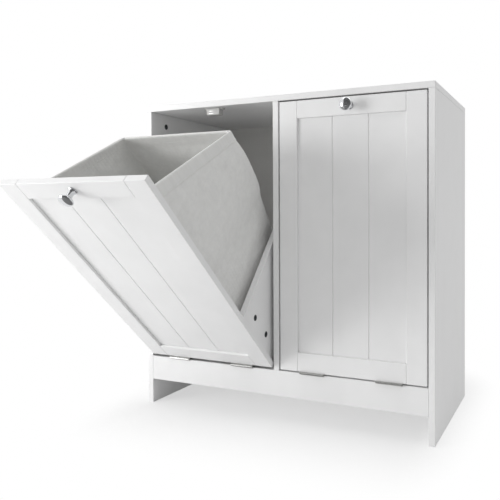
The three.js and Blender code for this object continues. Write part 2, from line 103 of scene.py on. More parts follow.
# Slump: how far the cloth falls in at the tray's edge, at the sides and the rear, and how many times as far at the
# foot. It stops within fall_reach of the way up to the hem. Billow is how far the cloth bellies out, within
# billow_reach of the way down from the hem.
side_fall = 8 * mm
rear_fall = 15 * mm
foot_fall = 1.25
fall_reach = 0.45
fall_curve = 0.8
billow = 3.5 * mm
billow_reach = 0.65
billow_curve = 0.6

# Simulated sag: the cloth's slack, how far it may move and pass the tray's planes, and how far from the hem and the
# foot it is still partly held
cloth_slack = 0.012
sag_limit = 10 * mm
sag_frames = 30
cloth_room = 4 * mm
held_below_hem = 20 * mm
held_above_foot = 30 * mm
canvas_behaviour = {
    "quality": 6,
    "mass": 0.004,
    "tension_stiffness": 12,
    "compression_stiffness": 12,
    "shear_stiffness": 6,
    "bending_stiffness": 0.4,
    "air_damping": 3,
    "shrink_min": -cloth_slack,
}

# Cam locks
cam_segments = 48
cam_edge = 0.25 * mm
cam_rim = 0.8 * mm
cam_dish = 0.5 * mm
cam_dish_slope = 0.2 * mm
cam_slot_width = 1.6 * mm
cam_slot_length = 7.5 * mm
cam_slot_depth = 3 * mm

# Screws
screw_segments = 40
screw_head_radius = 2.8 * mm
screw_head_height = 1.6 * mm
screw_slot_width = 0.8 * mm
screw_slot_length = 3.4 * mm
screw_slot_depth = 1.1 * mm
screw_head_round = 0.6
slot_overlap = 1 * mm

# Catches: where their screws are, and the steel poles, which lie a little below the middle
catch_screw_distance = 19.5 * mm
catch_ear_height = 3 * mm
catch_pole_width = 20 * mm
catch_pole_depth = 6 * mm
catch_pole_thickness = 1.4 * mm
catch_pole_spacing = 5 * mm
catch_pole_drop = 1.5 * mm
catch_pole_proud = 0.3 * mm
catch_pole_edge = 0.25 * mm

# Nails
nail_segments = 20
nail_head_radius = 2.2 * mm
nail_head_height = 0.25 * mm
nail_edge_distance = 6 * mm
nail_pitch = 95 * mm
nail_head_round = 0.7
divider_x = 0

# Knob, from its seat on the door outwards. The rings of its base are shares of the base's radius and height.
knob_segments = 72
knob_base_radius = 8 * mm
knob_base_height = 1.6 * mm
knob_base_rings = ((1, 0.7), (0.97, 0.9), (0.88, 1))
knob_neck_radius = 4.6 * mm
knob_neck_steps = 10
knob_head_radius = 12.5 * mm
knob_head_height = 11.5 * mm
knob_head_start = -60
knob_head_steps = 22
knob_projection = 27 * mm

# Studio: what the lights aim at, how bright the room is, and the floor with the box round which its shadow fades
studio_aim = Vector((0, 0.05, 0.33))
pure_white = (1, 1, 1, 1)
room_light = 0.45
floor_size = 30
floor_drop = 0.2 * mm
shadow_middle = (-0.015, 0.215, 0)
shadow_half = (0.285, 0.165, 0)
shadow_ends = (2.15, 1, 1)
shadow_fade = 0.265
shadow_lift = 0.55

# Dark cards: where they are placed from, below the closed door's knob, and their ways forward and across from there
card_yaw = -31
card_start = Vector((0.157, 0.02, 0))
card_forward = Vector((math.sin(math.radians(card_yaw)), -math.cos(math.radians(card_yaw)), 0))
card_across = Vector((math.cos(math.radians(card_yaw)), math.sin(math.radians(card_yaw)), 0))


# Operators

def deselect():
    """Leaves edit mode and clears the selection."""
    if bpy.context.object and bpy.context.object.mode != "OBJECT":
        bpy.ops.object.mode_set(mode="OBJECT")
    bpy.ops.object.select_all(action="DESELECT")


def take(piece):
    """Makes one piece the only selected and active one."""
    deselect()
    piece.select_set(True)
    bpy.context.view_layer.objects.active = piece


def edit(piece, mode="FACE"):
    """Opens a piece in edit mode with nothing selected."""
    take(piece)
    bpy.ops.object.mode_set(mode="EDIT")
    bpy.ops.mesh.select_mode(type=mode)
    bpy.ops.mesh.select_all(action="DESELECT")


def choose(piece, parts, test):
    """Selects the faces, edges or vertices of a piece in edit mode that pass a test."""
    shape = bmesh.from_edit_mesh(piece.data)
    for part in getattr(shape, parts):
        if test(part):
            part.select_set(True)
    shape.select_flush_mode()
    bmesh.update_edit_mesh(piece.data)


def apply_all(piece):
    """Applies every modifier of a piece."""
    take(piece)
    for modifier in list(piece.modifiers):
        bpy.ops.object.modifier_apply(modifier=modifier.name)


def settle(piece, side=None):
    """Applies a piece's place, so that its origin is the frame's. The open bin's pieces are turned about the hinge."""
    bpy.context.view_layer.update()
    if side == "left":
        turn = Matrix.Rotation(open_angle, 4, "X")
        piece.matrix_world = (
            Matrix.Translation(hinge_axis) @ turn @ Matrix.Translation(-hinge_axis) @ piece.matrix_world
        )
    take(piece)
    bpy.ops.object.transform_apply(location=True, rotation=True, scale=True)
    return piece


def point_outwards(piece):
    """Turns every face of a closed piece to point outwards."""
    edit(piece)
    bpy.ops.mesh.select_all(action="SELECT")
    bpy.ops.mesh.normals_make_consistent(inside=False)
    deselect()


def smooth(piece, degrees):
    """Shades a piece smooth, apart from edges that are sharper than an angle."""
    take(piece)
    bpy.ops.object.shade_smooth_by_angle(angle=math.radians(degrees))
    return piece


def block(name, middle, size):
    """A plain block, to be shaped."""
    bpy.ops.mesh.primitive_cube_add(size=1, location=middle, scale=size)
    piece = bpy.context.object
    piece.name = name
    return settle(piece)


def drum(segments, radius, depth, middle_z):
    """A plain drum on the z axis, to be shaped."""
    bpy.ops.mesh.primitive_cylinder_add(vertices=segments, radius=radius, depth=depth, location=(0, 0, middle_z))
    return settle(bpy.context.object)


# Materials

def colour(code):
    """An sRGB hex colour as linear values."""
    channels = [int(code[i:i + 2], 16) / 255 for i in (0, 2, 4)]
    return [c / 12.92 if c <= 0.04045 else ((c + 0.055) / 1.055) ** 2.4 for c in channels] + [1]


def set_inputs(material, node, inputs):
    """Gives inputs of a node their values, or links them to the outputs that they take."""
    for name, value in inputs.items():
        if isinstance(value, bpy.types.NodeSocket):
            material.node_tree.links.new(value, node.inputs[name])
        else:
            node.inputs[name].default_value = value


def add_node(material, kind, inputs=None, stops=(), **settings):
    """A node with its settings and inputs, and with the stops of its colour ramp as places and hex colours."""
    node = material.node_tree.nodes.new(kind)
    for name, value in settings.items():
        setattr(node, name, value)
    for number, (position, code) in enumerate(stops):
        node.color_ramp.elements[number].position = position
        node.color_ramp.elements[number].color = colour(code)
    set_inputs(material, node, inputs or {})
    return node


def new_material(name):
    """A material and its shader."""
    material = bpy.data.materials.new(name)
    material.use_nodes = True
    return material, material.node_tree.nodes["Principled BSDF"]


def sprayed_lacquer():
    """White satin polyurethane lacquer on fibreboard: even and pale, with a fine orange peel that softens gloss."""
    material, shader = new_material("white_satin_lacquer")
    place = add_node(material, "ShaderNodeTexCoord").outputs["Object"]
    peel = add_node(material, "ShaderNodeTexNoise", {"Vector": place, "Scale": 1 / (2.4 * mm), "Detail": 2})
    edges = add_node(material, "ShaderNodeBevel", {"Radius": 0.8 * mm}, samples=6)
    bump = add_node(
        material,
        "ShaderNodeBump",
        {"Height": peel.outputs["Fac"], "Normal": edges.outputs["Normal"], "Strength": 0.35, "Distance": 0.06 * mm},
    )
    coats = add_node(material, "ShaderNodeTexNoise", {"Vector": place, "Scale": 1 / (90 * mm), "Detail": 3})
    tone = add_node(
        material,
        "ShaderNodeValToRGB",
        {"Fac": coats.outputs["Fac"]},
        stops=((0.35, "EEEEEE"), (0.65, "F2F2F2")),
    )
    sheen = add_node(
        material,
        "ShaderNodeMapRange",
        {"Value": coats.outputs["Fac"], "From Min": 0.3, "From Max": 0.7, "To Min": 0.36, "To Max": 0.44},
    )
    looks = {
        "Base Color": tone.outputs["Color"],
        "Roughness": sheen.outputs["Result"],
        "Normal": bump.outputs["Normal"],
    }
    set_inputs(material, shader, looks)
    return material


def faced_hardboard():
    """Thin hardboard with a white printed face: flatter than lacquer, with short fibres showing through."""
    material, shader = new_material("white_faced_hardboard")
    place = add_node(material, "ShaderNodeTexCoord").outputs["Object"]
    fibres = add_node(
        material,
        "ShaderNodeTexNoise",
        {"Vector": place, "Scale": 1 / (1.6 * mm), "Detail": 6, "Distortion": 1.2},
    )
    bump = add_node(
        material,
        "ShaderNodeBump",
        {"Height": fibres.outputs["Fac"], "Strength": 0.5, "Distance": 0.1 * mm},
    )
    tone = add_node(
        material,
        "ShaderNodeValToRGB",
        {"Fac": fibres.outputs["Fac"]},
        stops=((0.3, "DCDBD8"), (0.7, "E6E5E3")),
    )
    looks = {"Base Color": tone.outputs["Color"], "Roughness": 0.62, "Normal": bump.outputs["Normal"]}
    set_inputs(material, shader, looks)
    return material


def metal(name, code, smoothest, roughest, grain, depth):
    """A bare metal whose roughness and surface vary at the scale of its grain."""
    material, shader = new_material(name)
    place = add_node(material, "ShaderNodeTexCoord").outputs["Object"]
    specks = add_node(material, "ShaderNodeTexNoise", {"Vector": place, "Scale": 1 / grain, "Detail": 4})
    rough = add_node(
        material,
        "ShaderNodeMapRange",
        {
            "Value": specks.outputs["Fac"],
            "From Min": 0.3,
            "From Max": 0.7,
            "To Min": smoothest,
            "To Max": roughest,
        },
    )
    bump = add_node(
        material,
        "ShaderNodeBump",
        {"Height": specks.outputs["Fac"], "Strength": 0.4, "Distance": depth},
    )
    looks = {
        "Base Color": colour(code),
        "Metallic": 1,
        "Roughness": rough.outputs["Result"],
        "Normal": bump.outputs["Normal"],
    }
    set_inputs(material, shader, looks)
    return material


def moulded_plastic():
    """White injection-moulded ABS, a little milky, with its mould's spark-eroded grain. Its grey is painted shade."""
    material, shader = new_material("white_moulded_abs")
    place = add_node(material, "ShaderNodeTexCoord").outputs["Object"]
    grain = add_node(material, "ShaderNodeTexNoise", {"Vector": place, "Scale": 1 / (0.5 * mm), "Detail": 3})
    bump = add_node(
        material,
        "ShaderNodeBump",
        {"Height": grain.outputs["Fac"], "Strength": 0.5, "Distance": 0.04 * mm},
    )
    # The ramp darkens the white plastic to light grey, as painted shade for the catch's place under the top.
    tone = add_node(
        material,
        "ShaderNodeValToRGB",
        {"Fac": grain.outputs["Fac"]},
        stops=((0, "B6B6B4"), (1, "C2C2C0")),
    )
    looks = {"Base Color": tone.outputs["Color"], "Roughness": 0.34, "Normal": bump.outputs["Normal"]}
    set_inputs(material, shader, looks)
    return material


def woven_canvas():
    """Off-white canvas of polyester and cotton in plain weave: matt and faintly mottled. Its threads are drawn 8 mm
    apart, many times their real spacing, so that they show in a picture of the whole hamper."""
    material, shader = new_material("off_white_canvas")
    thread_pitch = 8.168 * mm
    # A wave texture of scale 1 repeats over this length.
    wave_period = 2 * math.pi / 20
    cloth = add_node(material, "ShaderNodeUVMap", uv_map="threads").outputs["UV"]
    waves = {
        "Vector": cloth,
        "Scale": wave_period / thread_pitch,
        "Distortion": 0.6,
        "Detail": 1,
        "Detail Scale": 0.4,
    }
    across = add_node(material, "ShaderNodeTexWave", waves, bands_direction="X")
    along = add_node(material, "ShaderNodeTexWave", waves, bands_direction="Y")
    weave = add_node(
        material,
        "ShaderNodeMath",
        {0: across.outputs["Fac"], 1: along.outputs["Fac"]},
        operation="MULTIPLY",
    )
    slubs = add_node(
        material,
        "ShaderNodeTexNoise",
        {"Vector": cloth, "Scale": 1 / (14 * mm), "Detail": 4, "Roughness": 0.65},
    )
    height = add_node(
        material,
        "ShaderNodeMath",
        {0: slubs.outputs["Fac"], 1: 0.6, 2: weave.outputs["Value"]},
        operation="MULTIPLY_ADD",
    )
    bump = add_node(
        material,
        "ShaderNodeBump",
        {"Height": height.outputs["Value"], "Strength": 0.7, "Distance": 0.25 * mm},
    )
    tone = add_node(
        material,
        "ShaderNodeValToRGB",
        {"Fac": slubs.outputs["Fac"]},
        stops=((0.3, "E0E0DE"), (0.7, "E9E9E7")),
    )
    looks = {
        "Base Color": tone.outputs["Color"],
        "Roughness": 0.92,
        "Sheen Weight": 0.25,
        "Sheen Roughness": 0.5,
        "Normal": bump.outputs["Normal"],
    }
    set_inputs(material, shader, looks)
    return material


def sewing_thread():
    """Twisted polyester thread, a little whiter and glossier than the canvas."""
    material, shader = new_material("white_sewing_thread")
    place = add_node(material, "ShaderNodeTexCoord").outputs["Object"]
    twist = add_node(material, "ShaderNodeTexNoise", {"Vector": place, "Scale": 1 / (0.4 * mm), "Detail": 1})
    bump = add_node(
        material,
        "ShaderNodeBump",
        {"Height": twist.outputs["Fac"], "Strength": 0.6, "Distance": 0.1 * mm},
    )
    looks = {
        "Base Color": colour("E4E4E2"),
        "Roughness": 0.6,
        "Sheen Weight": 0.3,
        "Normal": bump.outputs["Normal"],
    }
    set_inputs(material, shader, looks)
    return material


lacquer = sprayed_lacquer()
hardboard = faced_hardboard()
# Polished chrome plate is nearly a mirror, with the faintest haze of handling.
chrome = metal("polished_chrome_plate", "DCDDDF", 0.04, 0.09, 9 * mm, 0.004 * mm)
# Barrel-plated nickel on stamped steel is bright and a little cloudy.
nickel = metal("barrel_plated_nickel", "C6C6C4", 0.28, 0.4, 1.2 * mm, 0.02 * mm)
# Die-cast zinc darkens and keeps the grain of its mould.
zinc = metal("dark_die_cast_zinc", "56585A", 0.38, 0.55, 0.8 * mm, 0.05 * mm)
# Drawn spring wire has a plain grey shine.
wire_steel = metal("drawn_spring_wire", "A9ABAD", 0.25, 0.35, 1.5 * mm, 0.02 * mm)
plastic = moulded_plastic()
canvas = woven_canvas()
thread = sewing_thread()

slot_finishes = {
    "white_board": lacquer,
    "hardboard": hardboard,
    "knob_chrome": chrome,
    "hinge_steel": nickel,
    "cam_zinc": zinc,
    "white_plastic": plastic,
    "liner_canvas": canvas,
    "rim_wire": wire_steel,
}


# Finish

def dress_frame():
    """Gives every CAD node the finish of its slot."""
    for part in frame["record"]["subparts"]:
        node = frame["nodes"][part["node"]]
        for material_slot in node.material_slots:
            material_slot.material = slot_finishes[part["material_slot"]]


def finish_piece(piece, material, slot, body, *nodes):
    """Gives a new piece its finish, its body and the CAD nodes that it stands for."""
    piece.data.materials.clear()
    piece.data.materials.append(material)
    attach(piece, body)
    if nodes:
        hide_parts(*nodes)


# Knob

def knob(side):
    """A turned knob, raised ring by ring from its seat: a thin base, a waisted neck and a flattened round head."""
    low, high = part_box("right_knob")
    centre_x = sum(corner.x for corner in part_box(f"{side}_knob")) / 2
    seat = Vector((centre_x, high.y, (low.z + high.z) / 2))
    bpy.ops.mesh.primitive_circle_add(vertices=knob_segments, radius=knob_base_radius, fill_type="NGON")
    piece = bpy.context.object
    piece.name = f"{side}_turned_knob"
    rings = [(knob_base_radius * width, knob_base_height * height) for width, height in knob_base_rings]
    neck_start = rings[-1][0]
    head_start = math.radians(knob_head_start)
    head_middle = knob_projection - knob_head_height / 2
    neck_end = head_middle + knob_head_height / 2 * math.sin(head_start)
    for step in range(1, knob_neck_steps + 1):
        share = step / knob_neck_steps
        # A cubic curve that leaves the base level and meets the head's underside.
        a, b, c, d = (1 - share) ** 3, 3 * share * (1 - share) ** 2, 3 * share ** 2 * (1 - share), share ** 3
        radius = a * neck_start + (b + c) * knob_neck_radius + d * knob_head_radius * math.cos(head_start)
        height = (a + b) * knob_base_height + c * (neck_end - knob_base_height) + d * neck_end
        rings.append((radius, height))
    for step in range(1, knob_head_steps):
        angle = head_start + (math.pi / 2 - head_start) * step / knob_head_steps
        rings.append((knob_head_radius * math.cos(angle), head_middle + knob_head_height / 2 * math.sin(angle)))
    edit(piece)
    bpy.ops.mesh.select_all(action="SELECT")
    last_radius, last_height = knob_base_radius, 0
    for radius, height in rings:
        bpy.ops.mesh.extrude_region_move(TRANSFORM_OT_translate={"value": (0, 0, height - last_height)})
        bpy.ops.transform.resize(value=(radius / last_radius, radius / last_radius, 1))
        last_radius, last_height = radius, height
    bpy.ops.mesh.poke(offset=knob_projection - last_height)
    deselect()
    point_outwards(piece)
    take(piece)
    piece.rotation_euler = (math.radians(90), 0, 0)
    piece.location = seat
    settle(piece, side)
    smooth(piece, 40)
    finish_piece(piece, chrome, "knob_chrome", f"{side}_bin", f"{side}_knob")


# Bag

wire_front = Vector((0, wire_low.y + wire_radius, wire_high.z - wire_radius))
wire_rear = Vector((0, wire_high.y - wire_radius, wire_low.z + wire_radius))
rim_slope = (wire_rear.z - wire_front.z) / (wire_rear.y - wire_front.y)


def wire_height(y):
    """The height of the wire's middle line, which slopes down from the door to the back."""
    return wire_front.z + (y - wire_front.y) * rim_slope


def bag_space(side):
    """The lowest and highest corner of the box that the bag's cloth is cut from, in its tray and up to the wire."""
    low = Vector((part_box(f"{side}_tray_left_board")[1].x, door_back, tray_floor + cloth_floor_gap))
    high = Vector((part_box(f"{side}_tray_right_board")[0].x, tray_rear, wire_front.z + blank_rise))
    fit = Vector((cloth_fit, cloth_fit, 0))
    return low + fit, high - fit


def bag_rows(low):
    """The planes of the rows that the wall is cut in, each as its height at the wire's front and rear and its share
    of the way from the tray's edge to the hem. Rows in the tray are level, with a share from -1 at the foot to 0 at
    the edge. Those above it turn to the rim's slope."""
    rows = []
    count = round((tray_top - low.z - bag_foot_radius) / cloth_step)
    for row in range(1, count + 1):
        z = low.z + bag_foot_radius + (tray_top - low.z - bag_foot_radius) * row / count
        rows.append((z, z, (row - count) / count))
    count = round((wire_front.z - hem_depth - tray_top) / cloth_step)
    for row in range(1, count + 1):
        share = row / count
        front = tray_top + share * (wire_front.z - hem_depth - tray_top)
        rear = tray_top + share * (wire_rear.z - hem_depth - tray_top)
        rows.append((front, rear, share))
    rows += [(wire_front.z - drop, wire_rear.z - drop, 1) for drop in hem_rows]
    return rows


def row_plane(row):
    """A row's plane, as a point and a direction."""
    front, rear, _ = row
    along = Vector((0, wire_rear.y - wire_front.y, rear - front))
    return Vector((0, wire_front.y, front)), Vector((0, -along.z, along.y)).normalized()


def bag_blank(side, low, high):
    """The bag before it is shaped: a box with round corners and foot, cut off at the wire and into small patches."""
    piece = block(f"{side}_bag", (low + high) / 2, high - low)
    edit(piece, "EDGE")
    choose(piece, "edges", lambda edge: abs(edge.verts[0].co.z - edge.verts[1].co.z) > cloth_step)
    bpy.ops.mesh.bevel(offset=bag_corner_radius, offset_type="OFFSET", segments=4)
    edit(piece, "EDGE")
    choose(piece, "edges", lambda edge: all(corner.co.z < low.z + row_reach for corner in edge.verts))
    bpy.ops.mesh.bevel(offset=bag_foot_radius, offset_type="OFFSET", segments=3)
    edit(piece)
    bpy.ops.mesh.select_all(action="SELECT")
    place, direction = row_plane((wire_front.z, wire_rear.z, 1))
    bpy.ops.mesh.bisect(plane_co=place, plane_no=direction, clear_outer=True)
    for axis in range(2):
        first, last = low[axis] + bag_corner_radius, high[axis] - bag_corner_radius
        count = round((last - first) / cloth_step)
        direction = Vector([1 if i == axis else 0 for i in range(3)])
        for column in range(1, count):
            bpy.ops.mesh.select_all(action="SELECT")
            bpy.ops.mesh.bisect(plane_co=direction * (first + (last - first) * column / count), plane_no=direction)
    for row in bag_rows(low):
        place, direction = row_plane(row)
        bpy.ops.mesh.select_all(action="SELECT")
        bpy.ops.mesh.bisect(plane_co=place, plane_no=direction)
    bpy.ops.mesh.select_all(action="SELECT")
    bpy.ops.uv.cube_project(cube_size=1)
    deselect()
    piece.data.uv_layers[0].name = "threads"
    return piece


def draw_in(low, high, sides, front, rear):
    """Draws the selected part of the bag in by a distance at the sides, the front and the rear."""
    width, depth = high.x - low.x, high.y - low.y
    middle = (low.x + high.x) / 2
    bpy.ops.transform.resize(
        value=(1 - 2 * sides / width, 1 - rear / depth, 1),
        center_override=(middle, low.y, low.z),
    )
    bpy.ops.transform.resize(
        value=(1, 1 - front / (depth - rear), 1),
        center_override=(middle, high.y - rear, low.z),
    )


def shape_bag(piece, low, high, slump):
    """Narrows the wall up to the hem, and lets the cloth belly out below the hem and fall inwards at the tray."""
    edit(piece, "VERT")
    for row in bag_rows(low) + [(wire_front.z, wire_rear.z, 1)]:
        place, direction = row_plane(row)
        bpy.ops.mesh.select_all(action="DESELECT")
        choose(piece, "verts", lambda corner: abs((corner.co - place).dot(direction)) < row_reach)
        front, _, share = row
        drop = wire_front.z - front if share == 1 else hem_depth
        wall = (wall_inset(drop) - cloth_fit) * max(0, share)
        if share > 0:
            fall = slump * max(0, 1 - share / fall_reach) ** fall_curve
            belly = slump * billow * math.sin(math.pi * min(1, (1 - share) / billow_reach)) ** billow_curve
        else:
            fall = slump * (1 - (foot_fall - 1) * share)
            belly = 0
        draw_in(low, high, wall + side_fall * fall - belly, wall, wall + rear_fall * fall - belly)
    bpy.ops.mesh.select_all(action="DESELECT")
    choose(piece, "verts", lambda corner: corner.co.z < low.z + bag_foot_radius + row_reach)
    draw_in(low, high, side_fall * slump * foot_fall, 0, rear_fall * slump * foot_fall)
    deselect()


def hem_inset(drop, at_wire, at_stitches):
    """How far a layer of the hem stands in from the tray's plane at a drop below the wire. The layers close in on each
    other down to the stitches, and both flare a little."""
    share = min(1, drop / hem_stitch_drop)
    flare = hem_flare * drop / hem_depth
    return at_wire + (at_stitches - at_wire) * math.sin(share * math.pi / 2) ** 2 - flare


def wall_inset(drop):
    """The inset of the wall, inside the wire."""
    return hem_inset(drop, wire_inset + wire_radius + wire_gap, wire_inset + cloth_thickness)


def flap_inset(drop):
    """The inset of the flap, outside the wire."""
    return hem_inset(drop, wire_inset - wire_radius - wire_gap, wire_inset - flap_gap)


def move_inset(low, high, start, inset):
    """Brings the selected ring of the hem from one inset to another."""
    width, depth = high.x - low.x + 2 * cloth_fit, high.y - low.y + 2 * cloth_fit
    bpy.ops.transform.resize(
        value=((width - 2 * inset) / (width - 2 * start), (depth - 2 * inset) / (depth - 2 * start), 1),
        center_override=((low.x + high.x) / 2, (low.y + high.y) / 2, low.z),
    )


def let_sag(piece, low, high, pull):
    """Lets the cloth between hem and foot sag and crease a little, and stops it at the tray and the door. Above the
    tray it may belly out a little further."""
    held = piece.vertex_groups.new(name="held")
    for corner in piece.data.vertices:
        drop = wire_height(corner.co.y) - corner.co.z
        rise = corner.co.z - low.z
        near_hem = 1 - max(0, drop - hem_depth) / held_below_hem
        near_foot = 1 - max(0, rise - bag_foot_radius) / held_above_foot
        held.add([corner.index], max(near_hem, near_foot, 0), "REPLACE")
    before = [corner.co.copy() for corner in piece.data.vertices]
    scene = bpy.context.scene
    scene.gravity = pull * gravity
    cloth = piece.modifiers.new("sag", "CLOTH")
    for name, value in canvas_behaviour.items():
        setattr(cloth.settings, name, value)
    cloth.settings.vertex_group_mass = "held"
    cloth.collision_settings.use_collision = False
    cloth.point_cache.frame_start = 1
    cloth.point_cache.frame_end = sag_frames
    for number in range(1, sag_frames + 1):
        scene.frame_set(number)
    take(piece)
    bpy.ops.object.modifier_apply(modifier=cloth.name)
    scene.frame_set(1)
    scene.gravity = (0, 0, -gravity)
    for corner, start in zip(piece.data.vertices, before):
        move = corner.co - start
        move *= sag_limit / (sag_limit + move.length)
        place = start + move
        room = cloth_room if place.z > tray_top else 0
        corner.co = Vector(
            (
                min(max(place.x, low.x - room), high.x + room),
                min(max(place.y, low.y), high.y + room),
                max(place.z, low.z),
            )
        )
    piece.vertex_groups.clear()


def fold_hem(piece, low, high):
    """Turns the wall's top edge over the wire and down outside it to the raw edge, which is tucked in."""
    edit(piece, "EDGE")
    choose(piece, "edges", lambda edge: edge.is_boundary)
    inner, outer = wall_inset(0), flap_inset(0)
    turn = (inner - outer) / 2
    rows = []
    for step in range(1, hem_turn_steps + 1):
        angle = math.pi * step / hem_turn_steps
        rows.append((inner - turn + turn * math.cos(angle), turn * math.sin(angle)))
    rows += [(flap_inset(drop), -drop) for drop in flap_rows]
    rows.append((flap_inset(hem_depth) + hem_tuck, -hem_depth))
    last_inset, last_rise = inner, 0
    for inset, rise in rows:
        bpy.ops.mesh.extrude_edges_move(TRANSFORM_OT_translate={"value": (0, 0, rise - last_rise)})
        move_inset(low, high, last_inset, inset)
        last_inset, last_rise = inset, rise
    deselect()


def raise_seams(piece, low, high):
    """Lifts the sewn edge of each upright corner a little, from the hem down to the foot."""
    edit(piece, "VERT")
    for x, x_way in ((low.x, 1), (high.x, -1)):
        for y, y_way in ((low.y, 1), (high.y, -1)):
            middle = Vector((x + x_way * bag_corner_radius, y + y_way * bag_corner_radius))
            corner_point = middle + Vector((-x_way, -y_way)) * bag_corner_radius * math.sqrt(0.5)
            bpy.ops.mesh.select_all(action="DESELECT")
            choose(
                piece,
                "verts",
                lambda corner: (corner.co.xy - corner_point).length < seam_reach
                and low.z + bag_foot_radius < corner.co.z < wire_height(corner.co.y) - hem_depth - seam_end,
            )
            bpy.ops.transform.translate(value=(-x_way * seam_rise, -y_way * seam_rise, 0))
    deselect()


def bag(side, slump, pull):
    """A liner: a bag of canvas, slumped by a share and pulled by gravity, with its hem turned over the wire."""
    low, high = bag_space(side)
    piece = bag_blank(side, low, high)
    raise_seams(piece, low, high)
    shape_bag(piece, low, high, slump)
    let_sag(piece, low, high, pull)
    rounding = piece.modifiers.new("rounding", "SUBSURF")
    rounding.levels = rounding.render_levels = 1
    apply_all(piece)
    edit(piece, "EDGE")
    choose(piece, "edges", lambda edge: edge.is_boundary)
    bpy.ops.mesh.duplicate()
    bpy.ops.mesh.separate(type="SELECTED")
    bpy.ops.object.mode_set(mode="OBJECT")
    rim = next(other for other in bpy.context.selected_objects if other is not piece)
    outer = flap_inset(hem_stitch_drop) - cloth_thickness / 2
    inner = wall_inset(hem_stitch_drop) + cloth_thickness / 2
    stitch_line(side, f"{side}_outer_hem_stitches", rim, low, high, outer)
    stitch_line(side, f"{side}_inner_hem_stitches", rim, low, high, inner)
    bpy.data.objects.remove(rim)
    fold_hem(piece, low, high)
    point_outwards(piece)
    cloth = piece.modifiers.new("cloth", "SOLIDIFY")
    cloth.thickness = cloth_thickness
    cloth.offset = 0
    apply_all(piece)
    settle(piece, side)
    bpy.ops.object.shade_smooth()
    finish_piece(piece, canvas, "liner_canvas", f"{side}_bin", f"{side}_liner")


def stitch(name):
    """One stitch of thread along x, with rounded ends that dive into the cloth."""
    piece = block(name, (stitch_length / 2, 0, 0), (stitch_length, 2 * stitch_radius, 2 * stitch_radius))
    edit(piece)
    bpy.ops.mesh.select_all(action="SELECT")
    bpy.ops.mesh.bevel(offset=stitch_edge, offset_type="OFFSET", segments=1)
    for end in (0, stitch_length):
        bpy.ops.mesh.select_all(action="DESELECT")
        choose(piece, "faces", lambda face: abs(face.calc_center_median().x - end) < end_reach)
        bpy.ops.transform.resize(value=(1, stitch_taper, stitch_taper))
    deselect()
    return piece


def stitch_line(side, name, rim, low, high, inset):
    """A row of stitches round the hem, along a copy of the rim's edges at the row's height and inset."""
    take(rim)
    bpy.ops.object.duplicate()
    path = bpy.context.object
    edit(path, "VERT")
    bpy.ops.mesh.select_all(action="SELECT")
    bpy.ops.transform.translate(value=(0, 0, -hem_stitch_drop))
    move_inset(low, high, wall_inset(0), inset)
    deselect()
    take(path)
    bpy.ops.object.convert(target="CURVE")
    path = bpy.context.object
    piece = stitch(name)
    row = piece.modifiers.new("row", "ARRAY")
    row.fit_type = "FIT_CURVE"
    row.curve = path
    row.use_relative_offset = False
    row.use_constant_offset = True
    row.constant_offset_displace = (stitch_pitch, 0, 0)
    bend = piece.modifiers.new("bend", "CURVE")
    bend.object = path
    apply_all(piece)
    bpy.data.objects.remove(path)
    settle(piece, side)
    smooth(piece, 50)
    finish_piece(piece, thread, "liner_canvas", f"{side}_bin")


# Small hardware

def faces_up(face):
    """Whether a face points up."""
    return face.normal.z > 0.9


def round_top(piece, height, share, segments):
    """Rounds the top edge of a drum that stands on z 0, by a share of its height."""
    edit(piece, "EDGE")
    choose(piece, "edges", lambda edge: all(corner.co.z > height / 2 for corner in edge.verts))
    bpy.ops.mesh.bevel(offset=height * share, offset_type="OFFSET", segments=segments)
    deselect()


def cut_cross(piece, width, length, depth, top):
    """Cuts a crossed slot into the top of a piece that stands on the z axis."""
    for turn in (0, 90):
        bpy.ops.mesh.primitive_cube_add(
            size=1,
            location=(0, 0, top - depth / 2 + slot_overlap / 2),
            rotation=(0, 0, math.radians(turn)),
            scale=(length, width, depth + slot_overlap),
        )
        cutter = bpy.context.object
        slot = piece.modifiers.new("slot", "BOOLEAN")
        slot.object = cutter
        slot.solver = "EXACT"
        apply_all(piece)
        bpy.data.objects.remove(cutter)


def cam_model():
    """A cam lock that faces up at z 0: a round body with a raised rim, a dished face and a crossed slot."""
    low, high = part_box("right_tray_left_lower_cam_lock")
    radius, depth = (high.y - low.y) / 2, high.x - low.x
    piece = drum(cam_segments, radius, depth, -depth / 2)
    edit(piece)
    choose(piece, "faces", faces_up)
    bpy.ops.mesh.bevel(offset=cam_edge, offset_type="OFFSET", segments=2)
    bpy.ops.mesh.select_all(action="DESELECT")
    choose(piece, "faces", lambda face: faces_up(face) and face.calc_area() > radius ** 2)
    bpy.ops.mesh.inset(thickness=cam_rim)
    bpy.ops.mesh.inset(thickness=cam_dish_slope, depth=-cam_dish)
    deselect()
    cut_cross(piece, cam_slot_width, cam_slot_length, cam_slot_depth, -cam_dish)
    return smooth(piece, 35)


def screw_model():
    """A pan-head screw that stands up from z 0: a domed head with a crossed recess."""
    piece = drum(screw_segments, screw_head_radius, screw_head_height, screw_head_height / 2)
    round_top(piece, screw_head_height, screw_head_round, 4)
    cut_cross(piece, screw_slot_width, screw_slot_length, screw_slot_depth, screw_head_height)
    return smooth(piece, 35)


def copy_piece(model, name, place, axis, side=None):
    """A copy of a model with its own mesh, whose z axis points along an axis of the frame, turned at random."""
    take(model)
    bpy.ops.object.duplicate()
    piece = bpy.context.object
    piece.name = name
    turn = Matrix.Rotation(dice.uniform(0, math.pi / 2), 4, "Z")
    piece.matrix_world = Matrix.Translation(place) @ Vector(axis).to_track_quat("Z", "Y").to_matrix().to_4x4() @ turn
    return settle(piece, side)


def face_point(low, high, way):
    """The middle of a box's face towards plus or minus x."""
    middle = (low + high) / 2
    return Vector((high.x if way > 0 else low.x, middle.y, middle.z))


